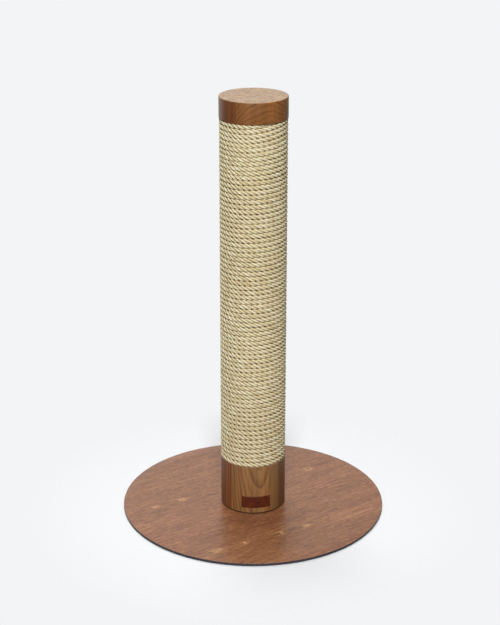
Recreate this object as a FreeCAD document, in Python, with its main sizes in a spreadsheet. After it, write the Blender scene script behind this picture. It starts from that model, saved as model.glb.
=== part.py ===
import FreeCAD, Part

import math
import os

import Sketcher

# A free-standing cat scratching post: a thin round base, a turned wooden foot, a
# cardboard tube wound with sisal rope, and a turned wooden cap.
# Millimetres, +Z up. The origin is in the middle of the underside, on the floor.

SIZES = {
    # the base is a steel disc between an anti-slip sheet and a wood veneer
    "base_diameter": 500,
    "underlay_diameter": 494,
    "underlay_thickness": 0.8,
    "plate_thickness": 4,
    "veneer_thickness": 0.6,
    # the foot is one turned block with a spigot that plugs the tube
    "foot_diameter": 122.5,
    "foot_height": 97.6,
    "foot_chamfer": 0.8,
    "spigot_height": 32,
    # the tube, and the rope that winds up it
    "tube_diameter": 106.6,
    "tube_wall": 5,
    "tube_length": 659.8,
    "fit_clearance": 0.1,
    "rope_diameter": 8.4,
    "rope_turns": 73,
    "wound_turns": 24,
    # the plug in the top of the tube, and the cap above it
    "plug_height": 32,
    "cap_diameter": 124.5,
    "cap_height": 39,
    "cap_rounding": 1.2,
    # machine screws that hold the base to the foot
    "base_screw_circle": 80,
    "base_screw_diameter": 6,
    "base_screw_head": 12,
    "base_screw_length": 26,
    "access_diameter": 15,
    "base_insert_diameter": 10,
    "base_insert_length": 18,
    # wood screws through the tube into the spigot and into the plug
    "wood_screw_diameter": 4,
    "wood_screw_head": 8,
    "wood_screw_length": 28,
    "wood_screw_inset": 16,
    # the stud between the two inserts that hold the cap down
    "stud_diameter": 8,
    "stud_length": 38,
    "stud_bevel": 1,
    "stud_insert_diameter": 12,
    "stud_insert_length": 20,
    # the blank leather patch on the foot
    "label_width": 53.7,
    "label_height": 23,
    "label_thickness": 1.2,
    "label_corner": 3,
    "label_rise": 13.1,
    "label_angle": 5.2,
}

SCREWS_PER_RING = 4
SCREW_START_ANGLE = 45
LEAST_ROPE_GAP = 0.4

# heights and radii that several pieces share, as expressions of the sheet
PLATE_BOTTOM = "Sizes.underlay_thickness"
PLATE_TOP = f"{PLATE_BOTTOM} + Sizes.plate_thickness"
BASE_TOP = f"{PLATE_TOP} + Sizes.veneer_thickness"
FOOT_TOP = f"{BASE_TOP} + Sizes.foot_height"
SPIGOT_TOP = f"{FOOT_TOP} + Sizes.spigot_height"
TUBE_TOP = f"{FOOT_TOP} + Sizes.tube_length"
PLUG_BOTTOM = f"{TUBE_TOP} - Sizes.plug_height"
CAP_TOP = f"{TUBE_TOP} + Sizes.cap_height"
FOOT_RADIUS = "Sizes.foot_diameter / 2"
TUBE_RADIUS = "Sizes.tube_diameter / 2"
ROPE_END_ROOM = "Sizes.rope_diameter / 2 + 3 * Sizes.fit_clearance"
ROPE_RISE = f"(Sizes.tube_length - 2 * ({ROPE_END_ROOM})) / Sizes.rope_turns"
WOUND_TOP = f"{FOOT_TOP} + 2 * ({ROPE_END_ROOM}) + Sizes.wound_turns * {ROPE_RISE}"
BORE_RADIUS = f"{TUBE_RADIUS} - Sizes.tube_wall"
PLUG_RADIUS = f"{BORE_RADIUS} - Sizes.fit_clearance"
BASE_SCREW_RING = "Sizes.base_screw_circle / 2"
LOW_SCREW_HEIGHT = f"{FOOT_TOP} + Sizes.wood_screw_inset"
HIGH_SCREW_HEIGHT = f"{TUBE_TOP} - Sizes.wood_screw_inset"
SCREW_SINK = "2 * Sizes.fit_clearance"
AXIS = "0"


def build_sheet(doc):
    """The sheet of driving dimensions, one named cell each."""
    sheet = doc.addObject("Spreadsheet::Sheet", "Sizes")
    for row, (name, value) in enumerate(SIZES.items(), start=1):
        sheet.set(f"A{row}", name)
        sheet.set(f"B{row}", str(value))
        sheet.setAlias(f"B{row}", name)
    doc.recompute()
    return sheet


# sketches and features

def origin_part(body, role):
    """The origin plane or axis of a body with this role."""
    return next(part for part in body.Origin.OriginFeatures if part.Role == role)


def outline(body, name, corners):
    """A closed outline of straight sides in the body's XZ plane; each corner is a pair
    of expressions, across and up, and "0" across lies on the Z axis."""
    sketch = body.newObject("Sketcher::SketchObject", name)
    sketch.AttachmentSupport = (origin_part(body, "XZ_Plane"), [""])
    sketch.MapMode = "FlatFace"
    count = len(corners)
    ring = [2 * math.pi * i / count for i in range(count)]
    spots = [FreeCAD.Vector(50 + 10 * math.cos(a), 50 + 10 * math.sin(a), 0) for a in ring]
    for i in range(count):
        sketch.addGeometry(Part.LineSegment(spots[i], spots[(i + 1) % count]), False)
    for i in range(count):
        sketch.addConstraint(Sketcher.Constraint("Coincident", i, 2, (i + 1) % count, 1))
    for i, (across, up) in enumerate(corners):
        if across == AXIS:
            sketch.addConstraint(Sketcher.Constraint("PointOnObject", i, 1, -2))
        else:
            bind_corner(sketch, "DistanceX", i, across)
        if up == AXIS:
            sketch.addConstraint(Sketcher.Constraint("PointOnObject", i, 1, -1))
        else:
            bind_corner(sketch, "DistanceY", i, up)
    return sketch


def bind_corner(sketch, kind, side, expression):
    """Holds the start of one side at an expression's distance from the sketch's origin."""
    index = sketch.addConstraint(Sketcher.Constraint(kind, -1, 1, side, 1, 50))
    sketch.setExpression(f"Constraints[{index}]", expression)


def turned(doc, name, corners):
    """A body turned about the Z axis from the outline of its right half."""
    body = doc.addObject("PartDesign::Body", name)
    sketch = outline(body, f"{name}_profile", corners)
    turn = body.newObject("PartDesign::Revolution", f"{name}_turning")
    turn.Profile = sketch
    turn.ReferenceAxis = (sketch, ["V_Axis"])
    turn.Angle = 360
    doc.recompute()
    return body


def drill(doc, body, name, corners, count=SCREWS_PER_RING):
    """Cuts a round hole, whose axis is the outline's first side, and repeats it round Z."""
    before = body.Shape.Volume
    sketch = outline(body, f"{name}_profile", corners)
    cut = body.newObject("PartDesign::Groove", name)
    cut.Profile = sketch
    cut.ReferenceAxis = (sketch, ["Edge1"])
    cut.Angle = 360
    doc.recompute()
    if count > 1:
        pattern = body.newObject("PartDesign::PolarPattern", f"{name}_ring")
        pattern.Originals = [cut]
        pattern.Axis = (origin_part(body, "Z_Axis"), [""])
        pattern.Angle = 360
        pattern.Occurrences = count
        body.Tip = pattern
        doc.recompute()
    print(f"{body.Name} {name}: {count} x, {before - body.Shape.Volume:.1f} mm3 cut")


def solid_round(radius, low, high):
    """The outline of a plain disc or rod on the Z axis."""
    return [(AXIS, low), (radius, low), (radius, high), (AXIS, high)]


def hollow_round(inner, outer, low, high):
    """The outline of a plain sleeve on the Z axis."""
    return [(inner, low), (outer, low), (outer, high), (inner, high)]


def centre_hole(radius, low, high):
    """The outline of a straight hole on the Z axis."""
    return [(AXIS, low), (AXIS, high), (radius, high), (radius, low)]


def upright_hole(radius, low, high, centre=BASE_SCREW_RING):
    """The outline of a straight hole that stands at a distance from the Z axis."""
    wall = f"{centre} + {radius}"
    return [(centre, low), (centre, high), (wall, high), (wall, low)]


def level_hole(radius, inner, outer, height):
    """The outline of a straight hole that points at the Z axis."""
    wall = f"{height} + {radius}"
    return [(inner, height), (outer, height), (outer, wall), (inner, wall)]


def round_edges(doc, body, name, size, height):
    """Rounds the outer rim of a turned body at one height."""
    rims = []
    for i, edge in enumerate(body.Shape.Edges, start=1):
        box = edge.BoundBox
        if box.ZLength < 1e-6 and abs(box.ZMin - height) < 1e-6:
            rims.append((edge.Length, f"Edge{i}"))
    wood = body.Tip
    fillet = body.newObject("PartDesign::Fillet", name)
    fillet.Base = (wood, [max(rims)[1]])
    fillet.setExpression("Radius", size)
    body.Tip = fillet
    doc.recompute()


def place_upright(body, angle, ring):
    """Stands a body on a ring round the Z axis."""
    body.setExpression("Placement.Base.x", f"({ring}) * cos({angle})")
    body.setExpression("Placement.Base.y", f"({ring}) * sin({angle})")


def place_level(body, angle, reach, height):
    """Lays a body that was turned about Z along a spoke, its low end outward."""
    spoke = FreeCAD.Vector(-math.cos(math.radians(angle)), -math.sin(math.radians(angle)), 0)
    turn = FreeCAD.Rotation(FreeCAD.Vector(0, 0, 1), spoke)
    body.Placement = FreeCAD.Placement(FreeCAD.Vector(), turn)
    body.setExpression("Placement.Base.x", f"({reach}) * cos({angle})")
    body.setExpression("Placement.Base.y", f"({reach}) * sin({angle})")
    body.setExpression("Placement.Base.z", height)


def group(doc, name, bodies):
    """Separate solids that share one node."""
    together = doc.addObject("Part::Compound", name)
    together.Links = bodies
    return together


def ring_angles():
    """The angles of the screws of one ring, in degrees from +X."""
    step = 360 / SCREWS_PER_RING
    return [SCREW_START_ANGLE + step * i for i in range(SCREWS_PER_RING)]


# the base

def build_base_underlay(doc):
    body = turned(doc, "base_underlay", solid_round("Sizes.underlay_diameter / 2", AXIS, PLATE_BOTTOM))
    turn_to_screws(body)
    drill(doc, body, "access_holes", upright_hole("Sizes.access_diameter / 2", AXIS, PLATE_BOTTOM))
    return body


def build_base_plate(doc):
    body = turned(doc, "base_plate", solid_round("Sizes.base_diameter / 2", PLATE_BOTTOM, PLATE_TOP))
    turn_to_screws(body)
    bore = f"{BASE_SCREW_RING} + Sizes.base_screw_diameter / 2 + Sizes.fit_clearance"
    mouth = f"{BASE_SCREW_RING} + Sizes.base_screw_head / 2 + Sizes.fit_clearance"
    sink = f"{PLATE_BOTTOM} + (Sizes.base_screw_head - Sizes.base_screw_diameter) / 2"
    corners = [(BASE_SCREW_RING, PLATE_BOTTOM), (BASE_SCREW_RING, PLATE_TOP), (bore, PLATE_TOP),
               (bore, sink), (mouth, PLATE_BOTTOM)]
    drill(doc, body, "countersunk_holes", corners)
    return body


def build_base_veneer(doc):
    body = turned(doc, "base_veneer", solid_round("Sizes.base_diameter / 2", PLATE_TOP, BASE_TOP))
    turn_to_screws(body)
    bore = "Sizes.base_screw_diameter / 2 + Sizes.fit_clearance"
    drill(doc, body, "screw_holes", upright_hole(bore, PLATE_TOP, BASE_TOP))
    return body


def turn_to_screws(body):
    """Turns a body about Z, so that its first hole meets the first screw."""
    turn = FreeCAD.Rotation(FreeCAD.Vector(0, 0, 1), SCREW_START_ANGLE)
    body.Placement = FreeCAD.Placement(FreeCAD.Vector(), turn)


def build_base_screws(doc):
    """Countersunk screws, up through the plate and into the foot's inserts."""
    shank = "Sizes.base_screw_diameter / 2"
    head = "Sizes.base_screw_head / 2"
    neck = f"{PLATE_BOTTOM} + {head} - {shank}"
    tip = f"{PLATE_BOTTOM} + Sizes.base_screw_length"
    corners = [(AXIS, PLATE_BOTTOM), (head, PLATE_BOTTOM), (shank, neck), (shank, tip), (AXIS, tip)]
    screws = []
    for i, angle in enumerate(ring_angles(), start=1):
        body = turned(doc, f"base_screw_{i}", corners)
        place_upright(body, angle, BASE_SCREW_RING)
        screws.append(body)
    return group(doc, "base_screws", screws)


# the foot

def build_foot_inserts(doc):
    """Threaded sleeves in the underside of the foot."""
    inner = "Sizes.base_screw_diameter / 2 + Sizes.fit_clearance"
    outer = "Sizes.base_insert_diameter / 2"
    top = f"{BASE_TOP} + Sizes.base_insert_length"
    sleeves = []
    for i, angle in enumerate(ring_angles(), start=1):
        body = turned(doc, f"foot_insert_{i}", hollow_round(inner, outer, BASE_TOP, top))
        place_upright(body, angle, BASE_SCREW_RING)
        sleeves.append(body)
    return group(doc, "foot_inserts", sleeves)


def build_foot(doc):
    corners = [
        (AXIS, BASE_TOP),
        (f"{FOOT_RADIUS} - Sizes.foot_chamfer", BASE_TOP),
        (FOOT_RADIUS, f"{BASE_TOP} + Sizes.foot_chamfer"),
        (FOOT_RADIUS, FOOT_TOP),
        (PLUG_RADIUS, FOOT_TOP),
        (PLUG_RADIUS, SPIGOT_TOP),
        (AXIS, SPIGOT_TOP),
    ]
    body = turned(doc, "foot", corners)
    turn_to_screws(body)
    well = "Sizes.base_insert_diameter / 2 + Sizes.fit_clearance"
    depth = f"{PLATE_BOTTOM} + Sizes.base_screw_length + Sizes.fit_clearance"
    drill(doc, body, "insert_wells", upright_hole(well, BASE_TOP, depth))
    drill(doc, body, "spigot_pilots", pilot_hole(LOW_SCREW_HEIGHT))
    return body


# the tube, its screws and the plug

def pilot_hole(height):
    """The hole that a wood screw's shank fills in the spigot or in the plug."""
    inner = f"{TUBE_RADIUS} - Sizes.wood_screw_length - Sizes.fit_clearance"
    return level_hole("Sizes.wood_screw_diameter / 2 + Sizes.fit_clearance", inner, PLUG_RADIUS, height)


def tube_hole(height):
    """A countersunk hole through the tube's wall."""
    bore = f"{height} + Sizes.wood_screw_diameter / 2 + Sizes.fit_clearance"
    mouth = f"{height} + Sizes.wood_screw_head / 2 + Sizes.fit_clearance"
    rim = f"{TUBE_RADIUS} - {SCREW_SINK}"
    neck = f"{rim} - (Sizes.wood_screw_head - Sizes.wood_screw_diameter) / 2"
    inside = f"{BORE_RADIUS} - 1"
    outside = f"{TUBE_RADIUS} + 1"
    return [(inside, height), (outside, height), (outside, mouth), (rim, mouth), (neck, bore), (inside, bore)]


def build_core_tube(doc):
    body = turned(doc, "core_tube", hollow_round(BORE_RADIUS, TUBE_RADIUS, FOOT_TOP, TUBE_TOP))
    turn_to_screws(body)
    drill(doc, body, "low_screw_holes", tube_hole(LOW_SCREW_HEIGHT))
    drill(doc, body, "high_screw_holes", tube_hole(HIGH_SCREW_HEIGHT))
    return body


def build_wood_screws(doc, name, height):
    """A ring of countersunk wood screws, just under the outside of the tube."""
    shank = "Sizes.wood_screw_diameter / 2"
    head = "Sizes.wood_screw_head / 2"
    neck = f"{SCREW_SINK} + {head} - {shank}"
    taper = "Sizes.wood_screw_length - Sizes.wood_screw_diameter"
    corners = [(AXIS, SCREW_SINK), (head, SCREW_SINK), (shank, neck), (shank, taper),
               (AXIS, "Sizes.wood_screw_length")]
    screws = []
    for i, angle in enumerate(ring_angles(), start=1):
        body = turned(doc, f"{name}_{i}", corners)
        place_level(body, angle, TUBE_RADIUS, height)
        screws.append(body)
    return group(doc, name, screws)


def build_top_plug(doc):
    body = turned(doc, "top_plug", solid_round(PLUG_RADIUS, PLUG_BOTTOM, TUBE_TOP))
    turn_to_screws(body)
    drill(doc, body, "plug_pilots", pilot_hole(HIGH_SCREW_HEIGHT))
    well = "Sizes.stud_insert_diameter / 2 + Sizes.fit_clearance"
    low = f"{TUBE_TOP} - Sizes.stud_insert_length - Sizes.fit_clearance"
    drill(doc, body, "stud_well", centre_hole(well, low, TUBE_TOP), count=1)
    return body


# the cap and its stud

def build_stud_insert(doc, name, low, high):
    """A threaded sleeve on the Z axis, level with one face of the wood around it."""
    inner = "Sizes.stud_diameter / 2 + Sizes.fit_clearance"
    outer = "Sizes.stud_insert_diameter / 2"
    return turned(doc, name, hollow_round(inner, outer, low, high))


def build_cap_stud(doc):
    """A threaded rod with bevelled ends, half in the plug and half in the cap."""
    radius = "Sizes.stud_diameter / 2"
    tip = f"{radius} - Sizes.stud_bevel"
    low = f"{TUBE_TOP} - Sizes.stud_length / 2"
    high = f"{TUBE_TOP} + Sizes.stud_length / 2"
    low_end = [(AXIS, low), (tip, low), (radius, f"{low} + Sizes.stud_bevel")]
    high_end = [(radius, f"{high} - Sizes.stud_bevel"), (tip, high), (AXIS, high)]
    return turned(doc, "cap_stud", low_end + high_end)


def build_cap(doc):
    body = turned(doc, "cap", solid_round("Sizes.cap_diameter / 2", TUBE_TOP, CAP_TOP))
    well = "Sizes.stud_insert_diameter / 2 + Sizes.fit_clearance"
    high = f"{TUBE_TOP} + Sizes.stud_insert_length + Sizes.fit_clearance"
    drill(doc, body, "stud_well", centre_hole(well, TUBE_TOP, high), count=1)
    round_edges(doc, body, "top_rounding", "Sizes.cap_rounding", body.Shape.BoundBox.ZMax)
    return body


# the label

def build_label(doc, sheet):
    """A thin patch with round corners, bent round the front of the foot."""
    rise = f"{BASE_TOP} + Sizes.label_rise"
    inner = doc.addObject("Part::Cylinder", "label_back")
    inner.setExpression("Radius", FOOT_RADIUS)
    outer = doc.addObject("Part::Cylinder", "label_front")
    outer.setExpression("Radius", f"{FOOT_RADIUS} + Sizes.label_thickness")
    for cylinder in (inner, outer):
        cylinder.setExpression("Height", "Sizes.label_height")
        cylinder.setExpression("Placement.Base.z", rise)
    sleeve = doc.addObject("Part::Cut", "label_sleeve")
    sleeve.Base = outer
    sleeve.Tool = inner
    window = doc.addObject("Part::Box", "label_window")
    window.setExpression("Length", "Sizes.label_width")
    window.setExpression("Width", "Sizes.foot_diameter")
    window.setExpression("Height", "Sizes.label_height")
    window.setExpression("Placement.Base.x", "-Sizes.label_width / 2")
    window.setExpression("Placement.Base.y", "-Sizes.foot_diameter")
    window.setExpression("Placement.Base.z", rise)
    doc.recompute()
    corner = float(sheet.get("label_corner"))
    rounded = doc.addObject("Part::Fillet", "label_rounded_window")
    rounded.Base = window
    level = [i for i, edge in enumerate(window.Shape.Edges, start=1) if edge.BoundBox.YLength > 1]
    rounded.Edges = [(i, corner, corner) for i in level]
    patch = doc.addObject("Part::Common", "label")
    patch.Base = sleeve
    patch.Tool = rounded
    patch.setExpression("Placement.Rotation.Angle", "Sizes.label_angle")
    doc.recompute()
    return patch


# the rope

def helix_point(radius, rise, start, turn):
    """A point on the rope's middle line, after so many turns from the back of the post."""
    angle = 2 * math.pi * turn + math.pi / 2
    return FreeCAD.Vector(radius * math.cos(angle), radius * math.sin(angle), start + rise * turn)


def helix_heading(radius, rise, turn):
    """The direction in which the rope runs there."""
    angle = 2 * math.pi * turn + math.pi / 2
    heading = FreeCAD.Vector(-math.sin(angle), math.cos(angle), rise / (2 * math.pi * radius))
    return heading.normalize()


def tangent_arc(first, corner, last):
    """The arc from first to last whose end tangents meet at the corner."""
    middle = (first + last) * 0.5
    half = (last - first).Length / 2
    half_turn = math.acos(half / (corner - first).Length)
    sagitta = half * math.tan(half_turn / 2)
    toward = (corner - middle).normalize()
    return Part.Arc(first, middle + toward * sagitta, last).toShape()


def biarc(first, heading, last, last_heading):
    """Two arcs that join two points smoothly along their two headings."""
    chord = last - first
    both = heading + last_heading
    square = both.dot(both) - 4
    linear = -2 * chord.dot(both)
    root = math.sqrt(linear * linear - 4 * square * chord.dot(chord))
    reach = max((-linear - root) / (2 * square), (-linear + root) / (2 * square))
    first_corner = first + heading * reach
    last_corner = last - last_heading * reach
    joint = (first_corner + last_corner) * 0.5
    return [tangent_arc(first, first_corner, joint), tangent_arc(joint, last_corner, last)]


def least_gap(points, diameter, turn_count):
    """The least gap between a tube and its next turns, measured on points of its middle line."""
    per_turn = (len(points) - 1) / turn_count
    nearest = math.inf
    for i, point in enumerate(points):
        low = i + int(per_turn * 0.5)
        high = min(len(points), i + int(per_turn * 1.5))
        nearest = min([nearest] + [point.distanceToPoint(points[k]) for k in range(low, high)])
    return nearest - diameter


def build_rope(doc, sheet):
    """The rope's lowest turns, in a single layer that climbs the tube to the right."""
    diameter = float(sheet.get("rope_diameter"))
    turns = int(sheet.get("wound_turns"))
    clearance = float(sheet.get("fit_clearance"))
    length = float(sheet.get("tube_length"))
    bottom = sum(
        float(sheet.get(name))
        for name in ("underlay_thickness", "plate_thickness", "veneer_thickness", "foot_height")
    )
    radius = float(sheet.get("tube_diameter")) / 2 + clearance + diameter / 2
    end_room = diameter / 2 + 3 * clearance
    start = bottom + end_room
    rise = (length - 2 * end_room) / float(sheet.get("rope_turns"))
    halves = 2 * turns
    spots = [helix_point(radius, rise, start, i / 2) for i in range(halves + 1)]
    headings = [helix_heading(radius, rise, i / 2) for i in range(halves + 1)]
    lead_in = spots[0] - headings[0] * diameter
    lead_out = spots[-1] + headings[-1] * diameter
    edges = [Part.makeLine(lead_in, spots[0])]
    for i in range(halves):
        edges += biarc(spots[i], headings[i], spots[i + 1], headings[i + 1])
    edges.append(Part.makeLine(spots[-1], lead_out))
    path = Part.Wire(edges)
    section = Part.Wire([Part.makeCircle(diameter / 2, lead_in, headings[0])])
    rope = doc.addObject("Part::Feature", "sisal_rope")
    rope.Shape = path.makePipeShell([section], True, False)
    expected = math.pi * diameter**2 / 4 * path.Length
    print(f"rope: {turns} turns, pitch {rise:.3f} mm, length {path.Length / 1000:.2f} m,",
          f"volume {rope.Shape.Volume:.0f} of {expected:.0f} mm3")
    gap = least_gap(path.discretize(halves * 30 + 1), diameter, turns)
    print(f"rope: least gap to itself {gap:.3f} mm")
    if gap <= LEAST_ROPE_GAP:
        raise ValueError("the rope's turns are too close")
    return rope


def build_upper_rope(doc):
    """The rope's other turns, as one plain sleeve of their outer shape."""
    inner = f"{TUBE_RADIUS} + Sizes.fit_clearance"
    outer = f"{inner} + Sizes.rope_diameter"
    return turned(doc, "sisal_rope_upper", hollow_round(inner, outer, WOUND_TOP, TUBE_TOP))


def check(doc, nodes):
    """Stops if any object failed or any sub-part isn't a sound solid."""
    for item in doc.Objects:
        if "Invalid" in item.State or "Error" in item.State:
            raise ValueError(f"{item.Label}: {item.State}")
    for node in nodes:
        if node.Shape.isNull() or not node.Shape.isValid() or not node.Shape.Solids:
            raise ValueError(f"{node.Label}: no sound solid")


def main():
    doc = FreeCAD.newDocument("ScratchingPost")
    sheet = build_sheet(doc)
    nodes = [
        build_base_underlay(doc),
        build_base_plate(doc),
        build_base_veneer(doc),
        build_base_screws(doc),
        build_foot_inserts(doc),
        build_foot(doc),
        build_label(doc, sheet),
        build_core_tube(doc),
        build_wood_screws(doc, "foot_screws", LOW_SCREW_HEIGHT),
        build_top_plug(doc),
        build_wood_screws(doc, "plug_screws", HIGH_SCREW_HEIGHT),
        build_stud_insert(doc, "plug_insert", f"{TUBE_TOP} - Sizes.stud_insert_length", TUBE_TOP),
        build_cap_stud(doc),
        build_stud_insert(doc, "cap_insert", TUBE_TOP, f"{TUBE_TOP} + Sizes.stud_insert_length"),
        build_cap(doc),
        build_rope(doc, sheet),
        build_upper_rope(doc),
    ]
    doc.recompute()
    check(doc, nodes)
    os.makedirs("parts", exist_ok=True)
    for node in nodes:
        node.Shape.exportStep(f"parts/{node.Label}.step")
        box = node.Shape.BoundBox
        print(f"{node.Label}: {len(node.Shape.Solids)} solid(s), {node.Shape.Volume / 1000:.2f} cm3,",
              f"z {box.ZMin:.2f} to {box.ZMax:.2f}, {box.XLength:.2f} x {box.YLength:.2f}")


main()
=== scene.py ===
import math

import bpy
import numpy as np
from mathutils import Matrix, Vector


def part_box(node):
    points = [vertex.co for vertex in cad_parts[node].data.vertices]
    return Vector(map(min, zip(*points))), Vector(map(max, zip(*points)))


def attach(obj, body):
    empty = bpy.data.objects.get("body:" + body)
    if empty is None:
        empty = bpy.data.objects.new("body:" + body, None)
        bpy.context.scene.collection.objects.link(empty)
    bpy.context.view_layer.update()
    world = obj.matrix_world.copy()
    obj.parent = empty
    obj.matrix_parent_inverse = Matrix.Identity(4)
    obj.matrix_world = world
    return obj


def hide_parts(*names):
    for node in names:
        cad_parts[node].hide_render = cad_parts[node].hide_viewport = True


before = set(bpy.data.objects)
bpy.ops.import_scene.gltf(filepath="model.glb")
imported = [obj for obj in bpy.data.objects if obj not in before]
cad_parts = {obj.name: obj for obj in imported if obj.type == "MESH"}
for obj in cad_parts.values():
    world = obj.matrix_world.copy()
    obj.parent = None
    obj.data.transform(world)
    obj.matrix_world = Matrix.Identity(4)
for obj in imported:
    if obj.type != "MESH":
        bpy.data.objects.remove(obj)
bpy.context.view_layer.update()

# Looks of the cat scratching post. Metres, in the part's own frame: +Z up, -Y towards the
# side that carries the leather patch.

SEED = 7
BODY = "root"


# ---------------------------------------------------------------- sizes from the frame

def low_of(node):
    """The lowest corner of the box round a node."""
    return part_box(node)[0]


def high_of(node):
    """The highest corner of the box round a node."""
    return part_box(node)[1]


def radius_of(node):
    """Half the width of a node that is round about the Z axis."""
    return (high_of(node).x - low_of(node).x) / 2


BASE_TOP = high_of("base_veneer").z
BASE_RADIUS = radius_of("base_veneer")
FOOT_RADIUS = radius_of("foot")
ROPE_BOTTOM = low_of("core_tube").z
ROPE_TOP = high_of("core_tube").z
TUBE_RADIUS = radius_of("core_tube")
SLEEVE_BOTTOM = low_of("sisal_rope_upper").z
SLEEVE_RADIUS = radius_of("sisal_rope_upper")
CAP_BOTTOM = low_of("cap").z
CAP_TOP = high_of("cap").z
CAP_RADIUS = radius_of("cap")


# ---------------------------------------------------------------- meshes

DISC_SIDES = 512
BLOCK_SIDES = 256


def add_piece(name, mesh, node, material):
    """A piece of the object with a mesh, dressed and put on its body in a CAD node's place."""
    mesh.materials.append(material)
    piece = bpy.data.objects.new(name, mesh)
    bpy.context.collection.objects.link(piece)
    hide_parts(node)
    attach(piece, BODY)


def add_mesh(name, vertices, faces, node, material):
    """A smooth piece of the object from lists of vertices and faces."""
    mesh = bpy.data.meshes.new(name)
    mesh.from_pydata([tuple(v) for v in vertices], [], faces)
    mesh.update()
    mesh.validate()
    mesh.polygons.foreach_set("use_smooth", [True] * len(mesh.polygons))
    add_piece(name, mesh, node, material)


def lathe(profile, sides):
    """Vertices and faces of a solid turned about Z; the profile runs (radius, height) from
    the axis at the bottom to the axis at the top."""
    inner = profile[1:-1]
    angles = 2 * math.pi * np.arange(sides) / sides
    vertices = [(0, 0, profile[0][1]), (0, 0, profile[-1][1])]
    for radius, height in inner:
        vertices += [(radius * math.cos(a), radius * math.sin(a), height) for a in angles]
    last = 2 + (len(inner) - 1) * sides
    faces = []
    for k in range(sides):
        following = (k + 1) % sides
        faces.append((0, 2 + following, 2 + k))
        faces.append((1, last + k, last + following))
        for ring in range(len(inner) - 1):
            low, high = 2 + ring * sides, 2 + (ring + 1) * sides
            faces.append((low + k, low + following, high + following, high + k))
    return vertices, faces


def turned_profile(radius, bottom, top, bottom_round, top_round, rings=6, steps=5):
    """The profile of a disc or block with rounded rims, and rings to keep its ends even."""
    def arc(centre_radius, centre_height, size, start):
        turns = [start + math.pi / 2 * i / steps for i in range(steps + 1)]
        return [(centre_radius + size * math.cos(a), centre_height + size * math.sin(a)) for a in turns]

    flat_low = [(radius * i / rings, bottom) for i in range(rings)]
    low_rim = arc(radius - bottom_round, bottom + bottom_round, bottom_round, -math.pi / 2)
    high_rim = arc(radius - top_round, top - top_round, top_round, 0)
    flat_high = [(radius * i / rings, top) for i in reversed(range(rings))]
    return flat_low + low_rim + high_rim + flat_high


# ---------------------------------------------------------------- material helpers

def srgb(red, green, blue):
    """A colour as it reads on screen, from 0 to 255, for a socket."""
    def linear(value):
        value = value / 255
        return value / 12.92 if value <= 0.04045 else ((value + 0.055) / 1.055) ** 2.4
    return (linear(red), linear(green), linear(blue), 1)


class Tree:
    """Short calls that add shader nodes to one node tree and link them."""

    def __init__(self, tree):
        self.tree = tree

    def add(self, kind, **settings):
        node = self.tree.nodes.new("ShaderNode" + kind)
        for name, value in settings.items():
            setattr(node, name, value)
        return node

    def feed(self, socket, value):
        if isinstance(value, bpy.types.NodeSocket):
            self.tree.links.new(value, socket)
        else:
            socket.default_value = value

    def math(self, operation, *values, clamp=False):
        node = self.add("Math", operation=operation, use_clamp=clamp)
        for socket, value in zip(node.inputs, values):
            self.feed(socket, value)
        return node.outputs[0]

    def vector(self, operation, *values):
        node = self.add("VectorMath", operation=operation)
        for socket, value in zip(node.inputs, values):
            self.feed(socket, value)
        return node.outputs["Value" if operation == "LENGTH" else "Vector"]

    def place(self):
        """Where a point is, in metres, in the part's own frame."""
        return self.add("TexCoord").outputs["Object"]

    def split(self, vector):
        node = self.add("SeparateXYZ")
        self.feed(node.inputs[0], vector)
        return node.outputs

    def join(self, x, y, z):
        node = self.add("CombineXYZ")
        for socket, value in zip(node.inputs, (x, y, z)):
            self.feed(socket, value)
        return node.outputs[0]

    def noise(self, place, scale, detail=2.0, roughness=0.5, distortion=0.0):
        """Noise at so many cells a metre along each axis."""
        node = self.add("TexNoise", noise_dimensions="3D")
        self.feed(node.inputs["Vector"], self.vector("MULTIPLY", place, scale))
        self.feed(node.inputs["Scale"], 1.0)
        self.feed(node.inputs["Detail"], detail)
        self.feed(node.inputs["Roughness"], roughness)
        self.feed(node.inputs["Distortion"], distortion)
        return node.outputs["Fac"]

    def spread(self, value, low, high, to_low=0.0, to_high=1.0, kind="LINEAR"):
        """A value from low..high mapped to another range and held inside it."""
        node = self.add("MapRange", clamp=True, interpolation_type=kind)
        for socket, number in zip(node.inputs, (value, low, high, to_low, to_high)):
            self.feed(socket, number)
        return node.outputs[0]

    def ramp(self, value, stops):
        """A colour that goes through the stops, each a place from 0 to 1 and a colour."""
        node = self.add("ValToRGB")
        elements = node.color_ramp.elements
        while len(elements) < len(stops):
            elements.new(0.5)
        for element, (position, colour) in zip(elements, stops):
            element.position = position
            element.color = colour
        self.feed(node.inputs[0], value)
        return node.outputs["Color"]

    def mix(self, share, first, second, blend="MIX"):
        node = self.add("Mix", data_type="RGBA", blend_type=blend)
        self.feed(node.inputs["Factor"], share)
        self.feed(node.inputs[6], first)
        self.feed(node.inputs[7], second)
        return node.outputs[2]


class Nodes(Tree):
    """The nodes of one new material."""

    def __init__(self, name):
        self.material = bpy.data.materials.new(name)
        self.material.use_nodes = True
        super().__init__(self.material.node_tree)
        self.shader = self.tree.nodes["Principled BSDF"]

    def bump(self, height, distance, strength):
        node = self.add("Bump")
        self.feed(node.inputs["Strength"], strength)
        self.feed(node.inputs["Distance"], distance)
        self.feed(node.inputs["Height"], height)
        self.feed(self.shader.inputs["Normal"], node.outputs[0])

    def set(self, name, value):
        """Gives one of the shader's own sockets a value or a link."""
        self.feed(self.shader.inputs[name], value)


# ---------------------------------------------------------------- solid wood

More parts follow.
